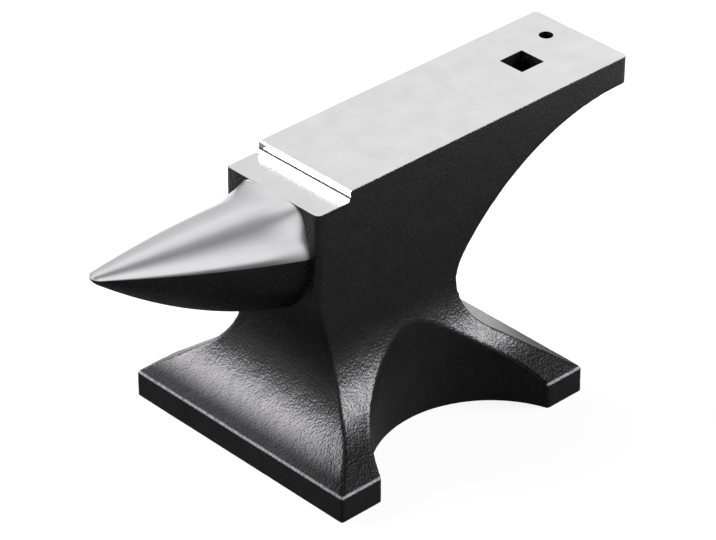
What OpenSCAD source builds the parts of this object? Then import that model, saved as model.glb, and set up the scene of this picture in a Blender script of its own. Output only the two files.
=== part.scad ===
// Single horn anvil, built up the traditional way: a core body, four corner feet that
// widen its base, a projecting heel, a table block, a horn and a steel face plate.
// The pieces meet face to face at their welds. X runs from the horn to the heel, Z is up,
// and the origin is the centre of the base's underside.

/* [Face and table] */
// Width of the face, the waist and the table
face_w = 86; // [76:1:96]
// Length of the steel face, from the step to the end of the heel
face_l = 254; // [240:1:270]
// Thickness of the face plate, which is also the height of the step
face_t = 7.5; // [5:0.5:12]
// Distance of the step from the middle of the base, towards the horn
step_x = 49; // [40:1:56]
// Length of the table in front of the step
table_l = 28; // [22:1:36]
// Radius of the fillet at the foot of the step
step_fillet = 3.5; // [2:0.5:4.5]

/* [Body] */
// Height of the whole anvil, from the floor to the face
anvil_h = 197; // [190:1:215]
// Length of the waist at its narrowest
waist_l = 114; // [104:1:122]
// Height of the upright front of the table block
breast_h = 71; // [60:1:84]
// How far the waist is set back under the front of the table
breast_setback = 10.5; // [6:0.5:16]
// Height of the narrowest place at the front
front_waist_z = 75; // [66:0.5:84]
// Height of the narrowest place at the back
rear_waist_z = 86; // [76:1:92]
// Radius of the sweep from the waist to the front feet
front_sweep_r = 51; // [36:1:56]
// Radius of the sweep from the waist to the rear feet
rear_sweep_r = 44; // [30:1:54]
// Height where the sides of the waist begin to spread
flare_z = 93; // [86:1:106]
// Radius of the spread of the sides
flare_r = 66; // [50:1:74]

/* [Base] */
// Length of the base
base_l = 220; // [210:1:240]
// Width of the base
base_w = 200; // [184:1:220]
// Height of the upright edge of the feet
foot_h = 18.5; // [12:0.5:24]
// Length of the front feet along the sides
front_foot_l = 35; // [28:1:42]
// Length of the rear feet along the sides
rear_foot_l = 32; // [26:1:40]
// How far the base stands out from the waist where the side hollow is deepest
side_lip = 2.2; // [1.5:0.1:3.5]
// How far the core body stands out from the waist, to where the corner feet join it
core_lip = 5; // [4.5:0.5:8]

/* [Heel] */
// Thickness of the end of the heel with the face plate
heel_t = 21; // [18:0.5:26]
// Radius of the long sweep under the heel
heel_sweep_r = 183; // [165:1:200]
// Radius of the short sweep between the heel and the waist
throat_r = 34; // [24:1:44]
// Distance from the back of the waist to the joint of the heel
heel_joint = 27; // [20:1:36]

/* [Holes] */
// Side of the square hardy hole
hardy_w = 21; // [16:0.5:26]
// Distance of the hardy hole's centre from the end of the heel
hardy_from_end = 57; // [48:1:66]
// Diameter of the round pritchel hole
pritchel_d = 10; // [7:0.5:13]
// Distance of the pritchel hole's centre from the end of the heel
pritchel_from_end = 19.5; // [14:0.5:24]
// Distance of the pritchel hole's centre from the middle line of the face
pritchel_side = 14; // [8:0.5:20]

/* [Horn] */
// Length of the horn from the front of the table
horn_l = 149; // [130:1:175]
// Width of the horn at its root
horn_w = 71; // [60:1:74]
// Extra half width of the horn halfway along
horn_swell = 18; // [10:1:28]
// Depth of the horn's widest line below the table, at the root
horn_shoulder_z = 34.5; // [30:0.5:38]
// Extra height of the top line halfway along
horn_crown = 7.5; // [0:0.5:12]
// Depth of the keel under the widest line, at the root
keel_depth = 50; // [42:1:56]
// Extra depth of the keel halfway along
keel_swell = 40; // [25:1:48]
// Width of the rounded nose
nose_w = 8.5; // [4:0.5:12]
// Thickness of the rounded nose
nose_t = 5; // [3:0.5:10]
// Length of the rounded nose
nose_l = 4; // [3:0.5:10]
// Width of the flat shoulder that runs from the table into the horn
shoulder_w = 58; // [46:1:66]
// Length over which that shoulder dies away
shoulder_l = 34; // [24:1:50]

/* [Hidden] */
$fn = 96;

black_paint = "#2b2b2d";
ground_steel = "#d9dadb";
polished_steel = "#c9c9cf";

// The swept curves turn by this much from one flat to the next
arc_step = 4;
// Past the ends of a cut, so that no two faces of a cut fall together
over = 10;
// How far the horn's form runs back into the body before it is cut to fit
root_back = 20;

face_x0 = -step_x;
face_x1 = face_x0 + face_l;
table_x0 = face_x0 - table_l;
table_z = anvil_h - face_t;
breast_z = table_z - breast_h;
waist_x0 = table_x0 + breast_setback;
waist_x1 = waist_x0 + waist_l;
heel_z = anvil_h - heel_t;
heel_x = waist_x1 + heel_joint;
core_half = face_w / 2 + core_lip;
hardy_x = face_x1 - hardy_from_end;
pritchel_x = face_x1 - pritchel_from_end;

// The points of an arc, with its first left out where the outline already has it
function arc(c, r, from, to, first = 0) =
    let (steps = max(2, ceil(abs(to - from) / arc_step)))
    [for (i = [first : steps])
        let (a = from + (to - from) * i / steps) c + r * [cos(a), sin(a)]];

// The largest share of a sweep's full radius that still keeps it above the toe
sweep_limit = 0.97;
function sweep_radius(r, run, rise) =
    min(r, sweep_limit * (run * run + rise * rise) / (2 * run));

// The angle at which the line from p touches a circle, on the side given by turn
function touch_angle(p, c, r, turn) =
    atan2(p[1] - c[1], p[0] - c[0]) + turn * acos(r / norm(p - c));

// The top of a foot, drawn from the waist at x = 0 to the toe at x = run. It sweeps out round
// a hollow arc, which starts at the angle from, and slopes straight down to the toe.
function foot_top(run, waist_z, r, from = 180) =
    let (toe = [run, foot_h], c = [r, waist_z])
    concat(arc(c, r, from, 360 + touch_angle(toe, c, r, -1)), [toe]);

// An outline's points, the other way round
function reversed(points) = [for (i = [len(points) - 1 : -1 : 0]) points[i]];

// The anvil seen from the side, without its horn and face plate
module side_outline() {
    toe_x = base_l / 2;
    breast = [table_x0, breast_z];

    front_run = waist_x0 + toe_x;
    front_r = min(sweep_radius(front_sweep_r, front_run, front_waist_z - foot_h),
                  sweep_radius(front_sweep_r, breast_setback, breast_z - front_waist_z));
    front_start = 180 - touch_angle(breast, [waist_x0 - front_r, front_waist_z], front_r, -1);
    front_top = foot_top(front_run, front_waist_z, front_r, front_start);

    rear_run = toe_x - waist_x1;
    rear_r = sweep_radius(rear_sweep_r, rear_run, rear_waist_z - foot_h);
    rear_top = foot_top(rear_run, rear_waist_z, rear_r);

    // The short sweep turns from upright by this much before the long sweep takes over
    turn = asin((heel_sweep_r - heel_z + rear_waist_z) / (heel_sweep_r - throat_r));
    throat_c = [waist_x1 + throat_r, rear_waist_z];
    long_c = throat_c + (heel_sweep_r - throat_r) * [cos(turn), -sin(turn)];
    sweep_end = max(long_c[0], face_x1) + over;

    intersection() {
        translate([-base_l, 0]) square([base_l + face_x1, table_z]);
        polygon(concat(
            [[-toe_x, 0]],
            [for (p = reversed(front_top)) [waist_x0 - p[0], p[1]]],
            [breast, [table_x0, table_z + over]],
            [[sweep_end, table_z + over], [sweep_end, heel_z]],
            arc(long_c, heel_sweep_r, 90, 180 - turn),
            arc(throat_c, throat_r, 180 - turn, 180, 1),
            [for (i = [1 : len(rear_top) - 1]) [waist_x1 + rear_top[i][0], rear_top[i][1]]],
            [[toe_x, 0]]));
    }
}

// One half of the anvil seen from its end: an upright side that spreads to the foot
function half_end_outline() =
    let (
        run = (base_w - face_w) / 2,
        top = foot_top(run, flare_z, sweep_radius(flare_r, run, flare_z - foot_h))
    )
    concat(
        [[base_w / 2, -over]],
        [for (p = reversed(top)) [face_w / 2 + p[0], p[1]]],
        [[face_w / 2, anvil_h + over]]);

module end_outline() {
    half = half_end_outline();
    polygon(concat(half, [for (p = reversed(half)) [-p[0], p[1]]]));
}

// The upright round hollow in each long side of the base, between its feet
module side_hollows() {
    chord = base_l - front_foot_l - rear_foot_l;
    depth = (base_w - face_w) / 2 - side_lip;
    r = (chord * chord / 4 + depth * depth) / (2 * depth);
    middle_x = (front_foot_l - rear_foot_l) / 2;
    for (side = [0, 1]) mirror([0, side, 0])
        translate([middle_x, -base_w / 2 + depth - r, -over])
            cylinder(r = r, h = flare_z + over);
}

// Everything that is painted: the core, feet, table block and heel before they are parted
module painted_form() {
    difference() {
        intersection() {
            rotate([90, 0, 0])
                linear_extrude(height = base_w + 2 * over, center = true) side_outline();
            rotate([90, 0, 90])
                linear_extrude(height = 2 * (face_l + base_l), center = true) end_outline();
        }
        side_hollows();
    }
}

// The space of the heel behind its joint, and of the table block above the breast
module heel_space() {
    translate([heel_x, -base_w, rear_waist_z]) cube([face_l, 2 * base_w, anvil_h]);
}

module table_space() {
    translate([table_x0 - over, -base_w, breast_z])
        cube([table_l + over, 2 * base_w, anvil_h]);
}

// The square hole for hardies and the round hole for punching
module tool_holes() {
    translate([hardy_x, 0, heel_z])
        cube([hardy_w, hardy_w, 4 * heel_t], center = true);
    translate([pritchel_x, pritchel_side, heel_z])
        cylinder(d = pritchel_d, h = 4 * heel_t, center = true);
}

module core_body() {
    color(black_paint) difference() {
        intersection() {
            painted_form();
            translate([-face_l, -core_half, -over])
                cube([2 * face_l, 2 * core_half, anvil_h + over]);
        }
        heel_space();
        table_space();
    }
}

// One corner of the base. End is -1 at the horn and 1 at the heel, side is -1 or 1 in Y.
module corner_foot(end, side) {
    parting_x = (front_foot_l - rear_foot_l) / 2;
    color(black_paint) intersection() {
        painted_form();
        translate([parting_x + (end < 0 ? -base_l : 0),
                   side < 0 ? -base_w - core_half : core_half, -over])
            cube([base_l, base_w, flare_z + over]);
    }
}

module table() {
    fillet_c = [face_x0 - step_fillet, table_z + step_fillet];
    color(ground_steel) {
        intersection() {
            painted_form();
            table_space();
        }
        rotate([90, 0, 0]) linear_extrude(height = face_w, center = true)
            polygon(concat(arc(fillet_c, step_fillet, 270, 360), [[face_x0, table_z]]));
    }
}

// Sizes of the horn at share s of its length, from the root to the nose
function along(root, tip, swell, s) = root * (1 - s) + tip * s + swell * s * (1 - s);
function horn_half_w(s) = along(horn_w / 2, nose_w / 2, horn_swell, s);
function horn_top_h(s) = along(horn_shoulder_z, nose_t / 2, horn_crown, s);
function horn_keel(s) = along(keel_depth, nose_t / 2, keel_swell, s);
function widest_z(s) = table_z - horn_shoulder_z * (1 - s);

// The nose rounds off over the last of the length
nose_s = 1 - nose_l / horn_l;
function nose_share(s) =
    s <= nose_s ? 1 : sqrt(max(0, 1 - pow((s - nose_s) / (1 - nose_s), 2)));

// How far the squarer shoulder stands out from the round root, at angle a from the top. The
// power sets how tight its two long corners are.
function shoulder(a) = let (power = 8)
    abs(a) >= 90 ? 0
    : max(1, pow(pow(cos(a), power) + pow(sin(abs(a)) * horn_w / shoulder_w, power), -1 / power)) - 1;
function shoulder_share(s) = pow(max(0, 1 - s * horn_l / shoulder_l), 2);

// A point of the horn's skin. Behind the root its section stays the same.
function horn_point(s, a) =
    let (
        t = max(0, s),
        share = nose_share(t) * (1 + shoulder(a) * shoulder_share(t)),
        reach = cos(a) >= 0 ? horn_top_h(t) : horn_keel(t)
    )
    [table_x0 - horn_l * s, share * horn_half_w(t) * sin(a), widest_z(t) + share * reach * cos(a)];

module horn_form() {
    sides = 40;
    shaft_steps = 18;
    nose_steps = 4;
    stations = concat(
        [-root_back / horn_l],
        [for (i = [0 : shaft_steps]) nose_s * i / shaft_steps],
        [for (i = [1 : nose_steps - 1]) nose_s + (1 - nose_s) * sin(90 * i / nose_steps)]);
    last = len(stations) - 1;
    points = concat(
        [for (s = stations, k = [0 : sides - 1]) horn_point(s, 360 * k / sides - 180)],
        [[table_x0 + root_back, 0, widest_z(0)], [table_x0 - horn_l, 0, widest_z(1)]]);
    root_centre = len(points) - 2;
    tip = len(points) - 1;
    function at(i, k) = i * sides + k % sides;
    polyhedron(points = points, faces = concat(
        [for (k = [0 : sides - 1]) [root_centre, at(0, k + 1), at(0, k)]],
        [for (i = [0 : last - 1], k = [0 : sides - 1])
            [at(i, k), at(i, k + 1), at(i + 1, k + 1)]],
        [for (i = [0 : last - 1], k = [0 : sides - 1])
            [at(i, k), at(i + 1, k + 1), at(i + 1, k)]],
        [for (k = [0 : sides - 1]) [tip, at(last, k), at(last, k + 1)]]),
        convexity = 4);
}

// The horn's root is cut to the front of the body, above and below the table block's edge
module horn() {
    color(polished_steel) difference() {
        horn_form();
        rotate([90, 0, 0]) linear_extrude(height = face_w, center = true) side_outline();
    }
}

module heel() {
    color(black_paint) difference() {
        intersection() {
            painted_form();
            heel_space();
        }
        tool_holes();
    }
}

module face_plate() {
    color(ground_steel) difference() {
        translate([face_x0, -face_w / 2, table_z]) cube([face_l, face_w, face_t]);
        tool_holes();
    }
}

core_body();
corner_foot(-1, 1);  // front_left_foot
corner_foot(-1, -1);  // front_right_foot
corner_foot(1, 1);  // rear_left_foot
corner_foot(1, -1);  // rear_right_foot
table();
horn();
heel();
face_plate();
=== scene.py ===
import math

import bpy
from mathutils import Matrix, Vector


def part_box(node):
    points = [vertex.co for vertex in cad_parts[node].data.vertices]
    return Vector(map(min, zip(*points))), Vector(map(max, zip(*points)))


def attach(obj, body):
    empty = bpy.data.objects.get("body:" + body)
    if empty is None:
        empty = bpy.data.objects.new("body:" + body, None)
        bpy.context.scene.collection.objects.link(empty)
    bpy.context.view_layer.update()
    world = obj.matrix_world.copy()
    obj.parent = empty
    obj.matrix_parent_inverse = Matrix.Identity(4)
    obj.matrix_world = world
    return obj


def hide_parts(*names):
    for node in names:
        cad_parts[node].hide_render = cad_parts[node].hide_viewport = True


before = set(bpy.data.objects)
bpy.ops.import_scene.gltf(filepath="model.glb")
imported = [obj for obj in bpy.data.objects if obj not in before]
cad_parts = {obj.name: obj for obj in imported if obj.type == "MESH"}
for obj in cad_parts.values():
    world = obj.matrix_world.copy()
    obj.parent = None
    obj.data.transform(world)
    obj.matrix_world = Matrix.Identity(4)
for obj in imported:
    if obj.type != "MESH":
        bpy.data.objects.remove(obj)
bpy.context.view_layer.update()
MM = 0.001


# Core body
# The waist and the middle of the base, one solid block of steel that carries every other piece.
# It is forged or cast to two outlines, one from the side and one from the end, with a round
# hollow down each long side, and it is painted satin black over a slightly rough skin.
front_foot_low, front_foot_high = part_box("front_right_foot")
rear_foot_low, rear_foot_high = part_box("rear_right_foot")
core_low, core_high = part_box("core_body")
table_low, table_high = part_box("table")
heel_low, heel_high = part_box("heel")
plate_low, plate_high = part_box("face_plate")

base_x0 = front_foot_low.x
base_x1 = rear_foot_high.x
base_half = -front_foot_low.y
face_half = plate_high.y
table_z = plate_low.z
face_z = plate_high.z
spare = 9 * MM

foot_h = 18.5 * MM
front_waist = Vector((table_low.x + 10.5 * MM, 75 * MM))
rear_waist = Vector((front_waist.x + 114 * MM, 86 * MM))
front_sweep_r = 51 * MM
rear_sweep_r = 44 * MM
heel_sweep_r = 183 * MM
throat_r = 34 * MM
heel_under_z = face_z - 21 * MM
flare_z = 93 * MM
flare_r = 66 * MM
hollow_depth = base_half - face_half - 2.2 * MM
front_foot_l = 35 * MM
rear_foot_l = 32 * MM
arc_step = math.radians(1.5)


def touch_angle(point, centre, radius, turn):
    """The angle at which a line from a point touches a circle."""
    away = point - centre
    return math.atan2(away.y, away.x) + turn * math.acos(radius / away.length)


def on_circle(centre, radius, angle):
    return centre + radius * Vector((math.cos(angle), math.sin(angle)))


def outline_solid(name, strokes, seen_from, reach):
    """Draws an outline with lines and arcs, fills it and gives it depth."""
    if seen_from == "side":
        place = lambda p: Vector((p.x, -reach, p.y))
        axis, depth = (0, 1, 0), (0, 2 * reach, 0)
    else:
        place = lambda p: Vector((-reach, p.x, p.y))
        axis, depth = (-1, 0, 0), (2 * reach, 0, 0)
    bpy.ops.object.select_all(action="DESELECT")
    bpy.ops.mesh.primitive_plane_add(size=MM)
    solid = bpy.context.object
    solid.name = name
    bpy.ops.object.mode_set(mode="EDIT")
    bpy.ops.mesh.select_all(action="SELECT")
    bpy.ops.mesh.merge(type="CENTER")
    pen = strokes[0]
    bpy.ops.transform.translate(value=place(pen))
    for stroke in strokes[1:]:
        if isinstance(stroke, Vector):
            by = place(stroke) - place(pen)
            bpy.ops.mesh.extrude_region_move(TRANSFORM_OT_translate={"value": by})
            pen = stroke
        else:
            centre, turn = stroke
            steps = max(2, math.ceil(abs(turn) / arc_step))
            bpy.ops.mesh.spin(steps=steps, angle=turn, center=place(centre), axis=axis)
            pen = centre + Matrix.Rotation(turn, 2) @ (pen - centre)
    bpy.ops.mesh.select_all(action="SELECT")
    bpy.ops.mesh.remove_doubles(threshold=0.01 * MM)
    bpy.ops.mesh.edge_face_add()
    bpy.ops.mesh.extrude_region_move(TRANSFORM_OT_translate={"value": depth})
    bpy.ops.mesh.select_all(action="SELECT")
    bpy.ops.mesh.normals_make_consistent(inside=False)
    bpy.ops.object.mode_set(mode="OBJECT")
    return solid


def block(low, high):
    """A plain cutter between two corners."""
    low, high = Vector(low), Vector(high)
    bpy.ops.object.select_all(action="DESELECT")
    bpy.ops.mesh.primitive_cube_add(size=1, location=(low + high) / 2, scale=high - low)
    bpy.ops.object.transform_apply(location=True, rotation=True, scale=True)
    return bpy.context.object


def apply_modifier(piece, kind, **settings):
    bpy.ops.object.select_all(action="DESELECT")
    bpy.context.view_layer.objects.active = piece
    piece.select_set(True)
    modifier = piece.modifiers.new(kind.lower(), kind)
    for key, value in settings.items():
        setattr(modifier, key, value)
    bpy.ops.object.modifier_apply(modifier=modifier.name)


def combine(piece, tool, operation, keep_tool=False):
    apply_modifier(piece, "BOOLEAN", object=tool, operation=operation, solver="MANIFOLD")
    if not keep_tool:
        bpy.data.objects.remove(tool)


def turn_between(centre, start, end):
    """The turn from one point on a circle to another, counterclockwise where it is positive."""
    start, end = start - centre, end - centre
    return math.atan2(start.cross(end), start.dot(end))


def up_foot(toe, waist, radius, top):
    """Strokes up from the toe: a straight slope, then the hollow sweep that ends at its top."""
    out = 1 if toe.x > waist.x else -1
    centre = waist + Vector((out * radius, 0))
    touch = on_circle(centre, radius, touch_angle(toe, centre, radius, -out))
    return [touch, (centre, turn_between(centre, touch, top))]


def down_foot(toe, waist, radius):
    """The same strokes the other way, from the waist down to the toe."""
    touch, (centre, turn) = up_foot(toe, waist, radius, waist)
    return [(centre, -turn), toe]


def side_strokes():
    toe_f = Vector((base_x0, foot_h))
    toe_r = Vector((base_x1, foot_h))
    breast = Vector((table_low.x, table_low.z))
    front_c = front_waist - Vector((front_sweep_r, 0))
    front_top = on_circle(
        front_c, front_sweep_r, touch_angle(breast, front_c, front_sweep_r, -1)
    )
    throat_c = rear_waist + Vector((throat_r, 0))
    turn = math.asin((heel_sweep_r - heel_under_z + rear_waist.y) / (heel_sweep_r - throat_r))
    long_c = throat_c + (heel_sweep_r - throat_r) * Vector((math.cos(turn), -math.sin(turn)))
    return [
        Vector((toe_f.x, -spare)),
        toe_f,
        *up_foot(toe_f, front_waist, front_sweep_r, front_top),
        breast,
        Vector((breast.x, face_z + spare)),
        Vector((plate_high.x, face_z + spare)),
        Vector((plate_high.x, heel_under_z)),
        Vector((long_c.x, heel_under_z)),
        (long_c, math.pi / 2 - turn),
        (throat_c, turn),
        *down_foot(toe_r, rear_waist, rear_sweep_r),
        Vector((toe_r.x, -spare)),
        Vector((toe_f.x, -spare)),
    ]


def end_strokes():
    toe = Vector((base_half, foot_h))
    flare = Vector((face_half, flare_z))
    other_toe = Vector((-toe.x, toe.y))
    other_flare = Vector((-flare.x, flare.y))
    return [
        Vector((toe.x, -spare)),
        toe,
        *up_foot(toe, flare, flare_r, flare),
        Vector((face_half, face_z + 2 * spare)),
        Vector((-face_half, face_z + 2 * spare)),
        other_flare,
        *down_foot(other_toe, other_flare, flare_r),
        Vector((-toe.x, -spare)),
        Vector((toe.x, -spare)),
    ]


casting = outline_solid("casting", side_strokes(), "side", base_half + spare)
combine(casting, outline_solid("end form", end_strokes(), "end", 0.4), "INTERSECT")

hollow_chord = base_x1 - base_x0 - front_foot_l - rear_foot_l
hollow_r = (hollow_chord**2 / 4 + hollow_depth**2) / (2 * hollow_depth)
hollow_x = (front_foot_l - rear_foot_l) / 2
for side in (-1, 1):
    bpy.ops.object.select_all(action="DESELECT")
    bpy.ops.mesh.primitive_cylinder_add(
        vertices=360,
        radius=hollow_r,
        depth=2 * flare_z,
        location=(hollow_x, side * (base_half - hollow_depth + hollow_r), 0),
    )
    bpy.ops.object.transform_apply(location=True, rotation=True, scale=True)
    combine(casting, bpy.context.object, "DIFFERENCE")


def post(x, y, radius, depth, middle_z):
    """A plain round cutter that stands upright."""
    bpy.ops.object.select_all(action="DESELECT")
    bpy.ops.mesh.primitive_cylinder_add(
        vertices=96, radius=radius, depth=depth, location=(x, y, middle_z)
    )
    bpy.ops.object.transform_apply(location=True, rotation=True, scale=True)
    return bpy.context.object


def round_off(x, y, radius, z0, z1):
    """Rounds an upright corner of the casting, which lies away from the middle in X and Y."""
    out_x = math.copysign(1, x)
    out_y = math.copysign(1, y)
    xs = sorted((x - out_x * radius, x + out_x * spare))
    ys = sorted((y - out_y * radius, y + out_y * spare))
    cutter = block((xs[0], ys[0], z0), (xs[1], ys[1], z1))
    pin = post(x - out_x * radius, y - out_y * radius, radius, 2 * (z1 - z0), (z0 + z1) / 2)
    combine(cutter, pin, "DIFFERENCE")
    combine(casting, cutter, "DIFFERENCE")


round_off(table_low.x, -face_half, 4 * MM, flare_z, face_z + 2 * spare)
for side in (-1, 1):
    round_off(plate_high.x, side * face_half, 3 * MM, heel_under_z - spare, face_z + 2 * spare)

# The mould rounds every edge a little, and leaves slow waves and a coarse grain in the skin.
apply_modifier(casting, "REMESH", mode="VOXEL", voxel_size=1.2 * MM)
apply_modifier(casting, "SMOOTH", factor=0.5, iterations=5)
for name, scale, strength in (("skin waves", 14 * MM, 0.35 * MM), ("skin grain", 3 * MM, 0.1 * MM)):
    skin = bpy.data.textures.new(name, "CLOUDS")
    skin.noise_scale = scale
    apply_modifier(
        casting, "DISPLACE", texture=skin, texture_coords="LOCAL", strength=strength, mid_level=0.5
    )
combine(casting, block((-0.3, -0.2, -0.1), (0.3, 0.2, 0)), "DIFFERENCE")

uncut_casting = casting.copy()
uncut_casting.data = casting.data.copy()
bpy.context.scene.collection.objects.link(uncut_casting)

# The top is ground flat in two levels. The step rises through a fillet and rolls over at its top.
step_fillet = 3.5 * MM
step_roll = 1 * MM
fillet_c = Vector((plate_low.x - step_fillet, table_z + step_fillet))
ground_cut = outline_solid(
    "ground cut",
    [
        Vector((table_low.x - spare, table_z)),
        Vector((fillet_c.x, table_z)),
        (fillet_c, math.pi / 2),
        Vector((plate_low.x, face_z - step_roll)),
        (Vector((plate_low.x + step_roll, face_z - step_roll)), -math.pi / 2),
        Vector((plate_high.x + spare, face_z)),
        Vector((plate_high.x + spare, face_z + 3 * spare)),
        Vector((table_low.x - spare, face_z + 3 * spare)),
        Vector((table_low.x - spare, table_z)),
    ],
    "side",
    base_half,
)
combine(casting, ground_cut, "DIFFERENCE")


def mix_noise(tree, coordinates, scale, detail=2.0, stretch=(1, 1, 1)):
    """Noise over the object's own coordinates, stretched where a finish has a direction."""
    mapping = tree.nodes.new("ShaderNodeMapping")
    mapping.inputs["Scale"].default_value = stretch
    tree.links.new(coordinates, mapping.inputs["Vector"])
    noise = tree.nodes.new("ShaderNodeTexNoise")
    noise.inputs["Scale"].default_value = scale
    noise.inputs["Detail"].default_value = detail
    tree.links.new(mapping.outputs["Vector"], noise.inputs["Vector"])
    return noise.outputs["Fac"]


def ramp(tree, value, stops):
    """Colours or grey levels along a value."""
    node = tree.nodes.new("ShaderNodeValToRGB")
    while len(node.color_ramp.elements) < len(stops):
        node.color_ramp.elements.new(0.5)
    for element, (position, colour) in zip(node.color_ramp.elements, stops):
        element.position = position
        element.color = (*colour, 1) if isinstance(colour, tuple) else (colour, colour, colour, 1)
    tree.links.new(value, node.inputs["Fac"])
    return node.outputs["Color"]


def bump(tree, height, distance, strength, normal=None):
    node = tree.nodes.new("ShaderNodeBump")
    node.inputs["Distance"].default_value = distance
    node.inputs["Strength"].default_value = strength
    tree.links.new(height, node.inputs["Height"])
    if normal is not None:
        tree.links.new(normal, node.inputs["Normal"])
    return node.outputs["Normal"]


def new_material(name):
    material = bpy.data.materials.new(name)
    material.use_nodes = True
    tree = material.node_tree
    shader = tree.nodes["Principled BSDF"]
    coordinates = tree.nodes.new("ShaderNodeTexCoord").outputs["Object"]
    return material, tree, shader, coordinates


def reckon(tree, operation, *values):
    """A sum over sockets and plain numbers."""
    node = tree.nodes.new("ShaderNodeMath")
    node.operation = operation
    for value, socket in zip(values, node.inputs):
        if isinstance(value, (int, float)):
            socket.default_value = value
        else:
            tree.links.new(value, socket)
    return node.outputs[0]


def fade(tree, value, low, high, to_low=0.0, to_high=1.0):
    """A smooth change from one level to another as a value goes from low to high."""
    node = tree.nodes.new("ShaderNodeMapRange")
    node.interpolation_type = "SMOOTHSTEP"
    for socket, number in zip(node.inputs[1:5], (low, high, to_low, to_high)):
        socket.default_value = number
    tree.links.new(value, node.inputs["Value"])
    return node.outputs["Result"]


def rim_rub_and_highlight(tree, coordinates):
    """Where the paint is rubbed thin along the top edges of the feet, lightened there also as a
    painted highlight of the rounded rim.
    """
    split = tree.nodes.new("ShaderNodeSeparateXYZ")
    tree.links.new(coordinates, split.inputs[0])
    over_rim = reckon(tree, "ABSOLUTE", reckon(tree, "SUBTRACT", split.outputs["Z"], foot_h))
    past_x = reckon(tree, "SUBTRACT", reckon(tree, "ABSOLUTE", split.outputs["X"]), base_x1)
    past_y = reckon(tree, "SUBTRACT", reckon(tree, "ABSOLUTE", split.outputs["Y"]), base_half)
    outermost = fade(tree, reckon(tree, "MAXIMUM", past_x, past_y), -1.8 * MM, -1.2 * MM)
    line = fade(tree, over_rim, 0.4 * MM, 1.1 * MM, 1.0, 0.0)
    return reckon(tree, "MULTIPLY", line, outermost)


def gloss_share(tree, coordinates):
    """How much gloss is left where it is turned down on the low slopes at the horn's end and near
    side, as painted shade on the sheen there.
    """
    split = tree.nodes.new("ShaderNodeSeparateXYZ")
    tree.links.new(coordinates, split.inputs[0])
    facing = tree.nodes.new("ShaderNodeSeparateXYZ")
    tree.links.new(tree.nodes.new("ShaderNodeTexCoord").outputs["Normal"], facing.inputs[0])
    to_end = fade(tree, facing.outputs["X"], -0.45, -0.3, 1.0, 0.0)
    to_side = fade(tree, facing.outputs["Y"], -0.45, -0.3, 1.0, 0.0)
    sloping = fade(tree, facing.outputs["Z"], 0.3, 0.5)
    end_toe_dimming = fade(tree, split.outputs["Z"], 22 * MM, 34 * MM, 0.9, 0.0)
    side_toe_dimming = fade(tree, split.outputs["Z"], 31 * MM, 44 * MM, 0.85, 0.0)
    toe_dimming = reckon(
        tree,
        "MAXIMUM",
        reckon(tree, "MULTIPLY", to_end, end_toe_dimming),
        reckon(tree, "MULTIPLY", to_side, side_toe_dimming),
    )
    return reckon(tree, "SUBTRACT", 1.0, reckon(tree, "MULTIPLY", toe_dimming, sloping))


def black_paint():
    material, tree, shader, coordinates = new_material("black paint")
    shade = mix_noise(tree, coordinates, 45, 4)
    paint_colour = ramp(tree, shade, [(0.3, (0.0035, 0.0035, 0.0035)), (0.7, (0.005, 0.005, 0.005))])
    # A light grey line along the feet's top edges: partly rubbed paint, partly a painted highlight of
    # the rounded rim.
    rim_patches = mix_noise(tree, coordinates, 600, 2)
    rubbed_and_highlit = reckon(
        tree, "MULTIPLY", rim_rub_and_highlight(tree, coordinates), fade(tree, rim_patches, 0.25, 0.6, 0.35, 1.0)
    )
    mix = tree.nodes.new("ShaderNodeMix")
    mix.data_type = "RGBA"
    mix.inputs["B"].default_value = (0.2, 0.2, 0.205, 1)
    tree.links.new(rubbed_and_highlit, mix.inputs["Factor"])
    tree.links.new(paint_colour, mix.inputs["A"])
    tree.links.new(mix.outputs["Result"], shader.inputs["Base Color"])
    patches = mix_noise(tree, coordinates, 160, 3)
    tree.links.new(ramp(tree, patches, [(0.3, 0.25), (0.7, 0.33)]), shader.inputs["Roughness"])
    # The gloss is turned down on the near-side and end toe slopes: painted shade on the sheen.
    gloss = reckon(tree, "MULTIPLY", gloss_share(tree, coordinates), 0.32)
    tree.links.new(gloss, shader.inputs["Specular IOR Level"])
    peel = mix_noise(tree, coordinates, 620, 2.5)
    grit = mix_noise(tree, coordinates, 1400, 2)
    normal = bump(tree, peel, 0.5 * MM, 0.8)
    normal = bump(tree, grit, 0.2 * MM, 0.4, normal)
    tree.links.new(normal, shader.inputs["Normal"])
    return material


paint = black_paint()


def part_of_casting(name, low, high):
    """A piece of the casting between two corners, as its own object."""
    piece = casting.copy()
    piece.data = casting.data.copy()
    piece.name = name
    bpy.context.scene.collection.objects.link(piece)
    combine(piece, block(low, high), "INTERSECT")
    return piece


def finish_piece(piece, node, materials, angle=30):
    """Gives a piece its materials and smooth shading, and seats it on the frame."""
    piece.name = node + "_piece"
    piece.data.name = piece.name
    piece.data.materials.clear()
    for material in materials:
        piece.data.materials.append(material)
    bpy.ops.object.select_all(action="DESELECT")
    bpy.context.view_layer.objects.active = piece
    piece.select_set(True)
    bpy.ops.object.shade_smooth_by_angle(angle=math.radians(angle))
    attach(piece, "root")
    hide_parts(node)


far = 0.5
core = part_of_casting("core", (-far, core_low.y, -far), (far, core_high.y, table_z))
combine(core, block((table_low.x - spare, -far, table_low.z), (plate_low.x, far, far)), "DIFFERENCE")
combine(core, block((heel_low.x, -far, rear_waist.y), (far, far, far)), "DIFFERENCE")
finish_piece(core, "core_body", [paint])


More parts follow.
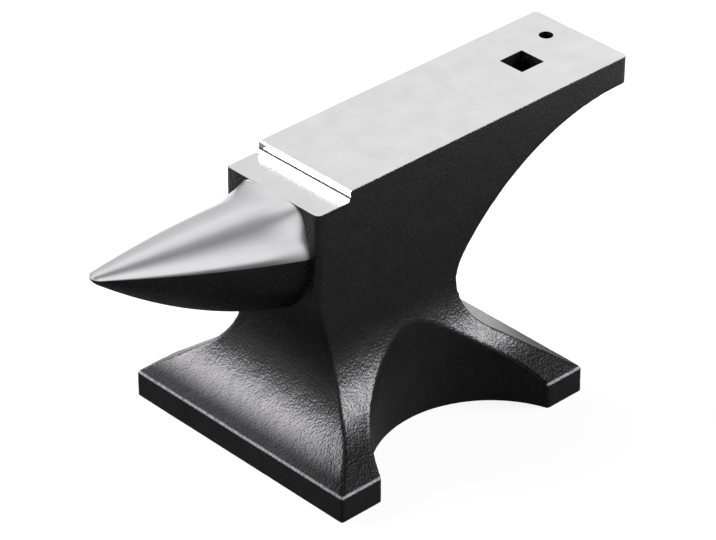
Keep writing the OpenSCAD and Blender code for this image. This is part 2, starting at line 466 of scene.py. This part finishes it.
# Feet
# Four corners of steel that widen the base, welded to the sides of the core between the long
# hollows and the ends. They carry the same black paint, and their lower edges stand upright.
foot_parting = hollow_x
for end, end_name in ((-1, "front"), (1, "rear")):
    for side, side_name in ((1, "left"), (-1, "right")):
        xs = sorted((foot_parting, end * far))
        ys = sorted((side * core_high.y, side * far))
        node = f"{end_name}_{side_name}_foot"
        foot = part_of_casting(node, (xs[0], ys[0], -far), (xs[1], ys[1], flare_z + spare))
        finish_piece(foot, node, [paint])


# Heel
# The overhanging tail of the anvil, thinning in one long sweep towards its end. It is welded to
# the back of the core and is pierced by the square hardy hole and the round pritchel hole.
hardy_w = 21 * MM
hardy_x = plate_high.x - 57 * MM
pritchel_d = 10 * MM
pritchel_at = (plate_high.x - 19.5 * MM, 14 * MM)


def pierce(piece):
    half = hardy_w / 2
    combine(piece, block((hardy_x - half, -half, 0.1), (hardy_x + half, half, 0.3)), "DIFFERENCE")
    combine(piece, post(*pritchel_at, pritchel_d / 2, 0.2, face_z), "DIFFERENCE")


heel = part_of_casting("heel", (heel_low.x, -far, rear_waist.y), (far, far, table_z))
pierce(heel)
finish_piece(heel, "heel", [paint])


# Face plate
# The hard steel plate that the work is struck on, welded along the top of the body. It is
# ground bright on top and on the step, and its sides are painted black with the body.
def ground_steel():
    material, tree, shader, coordinates = new_material("ground steel")
    marks = mix_noise(tree, coordinates, 900, 3, (0.5, 1, 1))
    cloud = mix_noise(tree, coordinates, 60, 5)
    tree.links.new(
        ramp(tree, cloud, [(0.3, (0.86, 0.86, 0.865)), (0.7, (0.94, 0.94, 0.945))]),
        shader.inputs["Base Color"],
    )
    shader.inputs["Metallic"].default_value = 1.0
    tree.links.new(ramp(tree, marks, [(0.3, 0.15), (0.7, 0.21)]), shader.inputs["Roughness"])
    tree.links.new(bump(tree, marks, 0.04 * MM, 0.2), shader.inputs["Normal"])
    return material


steel = ground_steel()


def edge_easer(top_z):
    """A form that takes a hair off the long top edges of a ground piece, as a stone would."""
    inner = face_half - 0.3 * MM
    drop = 0.1
    return outline_solid(
        "edge easer",
        [
            Vector((inner + drop, top_z - drop)),
            Vector((inner, top_z)),
            Vector((inner, face_z + spare)),
            Vector((-inner, face_z + spare)),
            Vector((-inner, top_z)),
            Vector((-inner - drop, top_z - drop)),
            Vector((inner + drop, top_z - drop)),
        ],
        "end",
        0.4,
    )


def keep_flats(piece):
    """Leaves the ground flats out of the smooth shading."""
    for face in piece.data.polygons:
        face.use_smooth = face.normal.z < 0.999


def assign_by_place(piece, index, test):
    """Gives a material slot to the faces whose centre and normal pass a test."""
    for face in piece.data.polygons:
        if test(face.center, face.normal):
            face.material_index = index


def is_ground(at, normal):
    """The top with the step, but not its eased edges or the dark steep end of the fillet."""
    steep_fillet = at.z < table_z + step_fillet and 0.08 < normal.z < 0.42
    return normal.z > -0.05 and abs(normal.y) < 0.5 and not steep_fillet


plate = part_of_casting("plate", (plate_low.x, -far, table_z), (far, far, far))
combine(plate, edge_easer(face_z), "INTERSECT")
pierce(plate)
finish_piece(plate, "face_plate", [paint, steel])
assign_by_place(plate, 1, is_ground)
keep_flats(plate)


# Table
# The block before the step, left softer than the face so that work can be cut on it. Its top is
# ground bright and runs up into the step in a fillet, and its sides and front are painted.
def table_steel():
    material, tree, shader, coordinates = new_material("table steel")
    marks = mix_noise(tree, coordinates, 700, 3, (1, 0.4, 1))
    cloud = mix_noise(tree, coordinates, 40, 4)
    tree.links.new(
        ramp(tree, cloud, [(0.3, (0.83, 0.83, 0.84)), (0.7, (0.89, 0.89, 0.9))]),
        shader.inputs["Base Color"],
    )
    shader.inputs["Metallic"].default_value = 1.0
    tree.links.new(ramp(tree, marks, [(0.3, 0.14), (0.7, 0.2)]), shader.inputs["Roughness"])
    tree.links.new(bump(tree, marks, 0.03 * MM, 0.2), shader.inputs["Normal"])
    return material


table = part_of_casting("table", (-far, -far, table_low.z), (plate_low.x, far, far))
combine(table, edge_easer(table_z), "INTERSECT")
finish_piece(table, "table", [paint, table_steel()])
edge_room = 0.05 * MM
assign_by_place(
    table, 1, lambda at, normal: at.z > table_z - edge_room and is_ground(at, normal)
)
keep_flats(table)
bpy.data.objects.remove(casting)


# Horn
# The beak that bars are bent round, a tapering round of steel welded to the front of the table
# block. It is polished above its widest line and painted black below, and its nose is rounded.
horn_low, horn_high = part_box("horn")
horn_x0 = table_low.x
horn_l = horn_x0 - horn_low.x
horn_half_w = 35.5 * MM
horn_side_swell = 18 * MM
shoulder_z = 34.5 * MM
horn_crown = 7.5 * MM
keel_depth = 50 * MM
keel_swell = 40 * MM
nose_half_w = 4.25 * MM
nose_half_t = 2.5 * MM
nose_s = 1 - 4 * MM / horn_l
shoulder_lean = 1 - 28 * MM / horn_half_w
shoulder_l = 34 * MM
root_back = 20 * MM
around = 128
shaft_rings = 60
nose_rings = 10


def along(root, tip, swell, s):
    """A size of the horn at share s of its length."""
    return root * (1 - s) + tip * s + swell * s * (1 - s)


def widest_z(s):
    return table_z - shoulder_z * (1 - s)


def horn_point(s, angle):
    """A point of the horn's skin, at an angle from its top line."""
    t = max(0.0, s)
    share = 1.0
    if t > nose_s:
        share = math.sqrt(max(0.0, 1 - ((t - nose_s) / (1 - nose_s)) ** 2))
    if abs(angle) < math.pi / 2:
        up = math.cos(angle) ** 8
        aside = (abs(math.sin(angle)) + shoulder_lean * math.cos(angle)) ** 8
        square = max(1.0, (up + aside) ** (-1 / 8))
        share *= 1 + (square - 1) * max(0.0, 1 - t * horn_l / shoulder_l) ** 2
        reach = along(shoulder_z, nose_half_t, horn_crown, t)
    else:
        reach = along(keel_depth, nose_half_t, keel_swell, t)
    half_w = along(horn_half_w, nose_half_w, horn_side_swell, t)
    return Vector((
        horn_x0 - horn_l * s,
        share * half_w * math.sin(angle),
        widest_z(t) + share * reach * math.cos(angle),
    ))


stations = [-root_back / horn_l]
stations += [nose_s * i / shaft_rings for i in range(shaft_rings + 1)]
stations += [
    nose_s + (1 - nose_s) * math.sin(math.pi / 2 * i / nose_rings) for i in range(1, nose_rings + 1)
]
bpy.ops.object.select_all(action="DESELECT")
bpy.ops.mesh.primitive_circle_add(
    vertices=around,
    radius=horn_half_w,
    fill_type="NGON",
    rotation=(0, -math.pi / 2, 0),
    location=(root_back, 0, 0),
)
bpy.ops.object.transform_apply(location=True, rotation=True, scale=True)
horn = bpy.context.object
bpy.ops.object.mode_set(mode="EDIT")
bpy.ops.mesh.select_all(action="SELECT")
for here, there in zip(stations, stations[1:]):
    bpy.ops.mesh.extrude_region_move(
        TRANSFORM_OT_translate={"value": ((here - there) * horn_l, 0, 0)}
    )
bpy.ops.object.mode_set(mode="OBJECT")
for vertex in horn.data.vertices:
    vertex.co = horn_point(-vertex.co.x / horn_l, math.atan2(vertex.co.y, vertex.co.z))
bpy.ops.object.mode_set(mode="EDIT")
bpy.ops.mesh.select_all(action="SELECT")
bpy.ops.mesh.remove_doubles(threshold=0.01 * MM)
bpy.ops.mesh.normals_make_consistent(inside=False)
bpy.ops.object.mode_set(mode="OBJECT")
combine(horn, uncut_casting, "DIFFERENCE")


def polished_steel():
    material, tree, shader, coordinates = new_material("polished steel")
    streaks = mix_noise(tree, coordinates, 260, 3, (0.05, 1, 1))
    cloud = mix_noise(tree, coordinates, 35, 3)
    split = tree.nodes.new("ShaderNodeSeparateXYZ")
    tree.links.new(coordinates, split.inputs[0])
    mix = tree.nodes.new("ShaderNodeMix")
    mix.data_type = "RGBA"
    root = fade(tree, split.outputs["X"], horn_x0 - 22 * MM, horn_x0)
    tree.links.new(root, mix.inputs["Factor"])
    shaft_colour = ramp(tree, cloud, [(0.3, (0.73, 0.73, 0.745)), (0.7, (0.77, 0.77, 0.785))])
    tree.links.new(shaft_colour, mix.inputs["A"])
    mix.inputs["B"].default_value = (0.84, 0.84, 0.85, 1)
    tree.links.new(mix.outputs["Result"], shader.inputs["Base Color"])
    shader.inputs["Metallic"].default_value = 1.0
    worn = fade(tree, split.outputs["X"], horn_x0 - 45 * MM, horn_x0, 0.0, 0.2)
    roughness = reckon(tree, "ADD", ramp(tree, streaks, [(0.3, 0.15), (0.7, 0.21)]), worn)
    tree.links.new(roughness, shader.inputs["Roughness"])
    tree.links.new(bump(tree, streaks, 0.03 * MM, 0.12), shader.inputs["Normal"])
    return material


finish_piece(horn, "horn", [paint, polished_steel()])


def above_widest_line(at, normal):
    return at.z > widest_z((horn_x0 - at.x) / horn_l)


assign_by_place(horn, 1, above_widest_line)


# Studio
# A pale floor, a white backdrop and two soft boxes. White and grey panels stand round the set for
# the bright steel to mirror, and the boxes are flagged off the horn, so that they don't glare there.
# Seen in reflections, the floor is darker near the anvil, a painted shade, and brighter than white
# behind it, a painted glow.
def floor_material():
    material = bpy.data.materials.new("pale floor")
    material.use_nodes = True
    tree = material.node_tree
    tree.nodes.clear()
    output = tree.nodes.new("ShaderNodeOutputMaterial")
    plain = tree.nodes.new("ShaderNodeBsdfDiffuse")
    plain.inputs["Color"].default_value = (0.8, 0.8, 0.8, 1)
    white = tree.nodes.new("ShaderNodeEmission")
    rays = tree.nodes.new("ShaderNodeLightPath")
    place = tree.nodes.new("ShaderNodeTexCoord").outputs["Object"]
    length = tree.nodes.new("ShaderNodeVectorMath")
    length.operation = "LENGTH"
    tree.links.new(place, length.inputs[0])
    split = tree.nodes.new("ShaderNodeSeparateXYZ")
    tree.links.new(place, split.inputs[0])
    # A painted glow, up to 1.3 times white, on the floor behind and to the right of the anvil, seen
    # only in reflections.
    glow_behind = reckon(
        tree,
        "MULTIPLY",
        fade(tree, reckon(tree, "ADD", split.outputs["X"], split.outputs["Y"]), 0.06, 0.12, 0.0, 1.3),
        fade(tree, split.outputs["Y"], -0.02, 0.03),
    )
    # Painted shade in the floor's reflections: darker near the anvil, down to 0.13 within 0.3 m.
    mirrored = reckon(
        tree, "MAXIMUM", glow_behind, fade(tree, length.outputs["Value"], 0.3, 0.75, 0.13, 1.0)
    )
    strength = reckon(tree, "MAXIMUM", rays.outputs["Is Camera Ray"], mirrored)
    tree.links.new(strength, white.inputs["Strength"])
    share = reckon(
        tree,
        "MAXIMUM",
        reckon(tree, "MULTIPLY", rays.outputs["Is Camera Ray"], 0.88),
        rays.outputs["Is Glossy Ray"],
    )
    mix = tree.nodes.new("ShaderNodeMixShader")
    tree.links.new(share, mix.inputs["Fac"])
    tree.links.new(plain.outputs[0], mix.inputs[1])
    tree.links.new(white.outputs[0], mix.inputs[2])
    tree.links.new(mix.outputs[0], output.inputs["Surface"])
    return material


bpy.ops.object.select_all(action="DESELECT")
bpy.ops.mesh.primitive_plane_add(size=12, location=(0, 0, 0))
floor = bpy.context.object
floor.name = "floor"
floor.data.materials.append(floor_material())

# The panels' brightness from the right of the set, at -Y, to its left. The camera sees white.
panels = [
    (0.04, 1.0),
    (0.11, 0.84),
    (0.2, 0.56),
    (0.33, 0.31),
    (0.46, 0.42),
    (0.58, 0.85),
    (0.72, 1.0),
    (0.81, 0.78),
    (0.9, 0.66),
]
world = bpy.data.worlds.new("surround")
world.use_nodes = True
bpy.context.scene.world = world
sky = world.node_tree
background = sky.nodes["Background"]
rays = sky.nodes.new("ShaderNodeLightPath")
direction = sky.nodes.new("ShaderNodeTexCoord").outputs["Generated"]
split = sky.nodes.new("ShaderNodeSeparateXYZ")
sky.links.new(direction, split.inputs[0])
mirrored = ramp(sky, reckon(sky, "MULTIPLY_ADD", split.outputs["Y"], 0.5, 0.5), panels)
seen = reckon(sky, "MAXIMUM", rays.outputs["Is Camera Ray"], mirrored)
direct = reckon(sky, "MAXIMUM", rays.outputs["Is Camera Ray"], rays.outputs["Is Glossy Ray"])
fill = 0.15
level = reckon(
    sky, "ADD", reckon(sky, "MULTIPLY", direct, seen),
    reckon(sky, "MULTIPLY", reckon(sky, "SUBTRACT", 1.0, direct), fill),
)
sky.links.new(level, background.inputs["Strength"])
background.inputs["Color"].default_value = (1, 1, 1, 1)

def soft_box(name, turn, rise, width, height, radiance, flagged):
    """An area lamp at a turn about Z and a rise in degrees, flagged off some of the pieces."""
    shaded = bpy.data.collections.new("flagged off the " + name)
    for piece in flagged:
        shaded.objects.link(piece)
    for entry in shaded.collection_objects:
        entry.light_linking.link_state = "EXCLUDE"
    distance = 3.5
    lamp = bpy.data.lights.new(name, "AREA")
    lamp.shape = "RECTANGLE"
    lamp.size = 2 * distance * math.tan(math.radians(width / 2))
    lamp.size_y = 2 * distance * math.tan(math.radians(height / 2))
    lamp.energy = radiance * math.pi * lamp.size * lamp.size_y
    lamp.color = (0.98, 0.96, 1.0)
    holder = bpy.data.objects.new(name, lamp)
    bpy.context.scene.collection.objects.link(holder)
    turn, rise = math.radians(turn), math.radians(rise)
    way = Vector((
        math.cos(rise) * math.cos(turn), math.cos(rise) * math.sin(turn), math.sin(rise)
    ))
    holder.location = Vector((0, 0, 0.06)) + way * distance
    holder.rotation_euler = way.to_track_quat("Z", "Y").to_euler()
    holder.light_linking.receiver_collection = shaded


soft_box("far box", 112, 38, 36, 44, 19, [horn])
soft_box("right box", -43, 27, 26, 29, 26, [horn])

face_w = 2 * face_half
camera_turn = math.radians(-43.48)
camera_rise = math.radians(32.59)
camera_roll = math.radians(0.13)
camera = bpy.data.objects.new("camera", bpy.data.cameras.new("camera"))
bpy.context.scene.collection.objects.link(camera)
camera.matrix_world = (
    Matrix.Translation(
        (plate_low.x - 16.045 * face_w, -17.4995 * face_w, 16.554 * face_w)
    )
    @ Matrix.Rotation(camera_turn, 4, "Z")
    @ Matrix.Rotation(math.pi / 2 - camera_rise, 4, "X")
    @ Matrix.Rotation(camera_roll, 4, "Z")
)
camera.data.lens = 188.63
camera.data.sensor_width = 36
camera.data.clip_end = 20
bpy.context.scene.camera = camera
bpy.context.scene.view_settings.view_transform = "Standard"
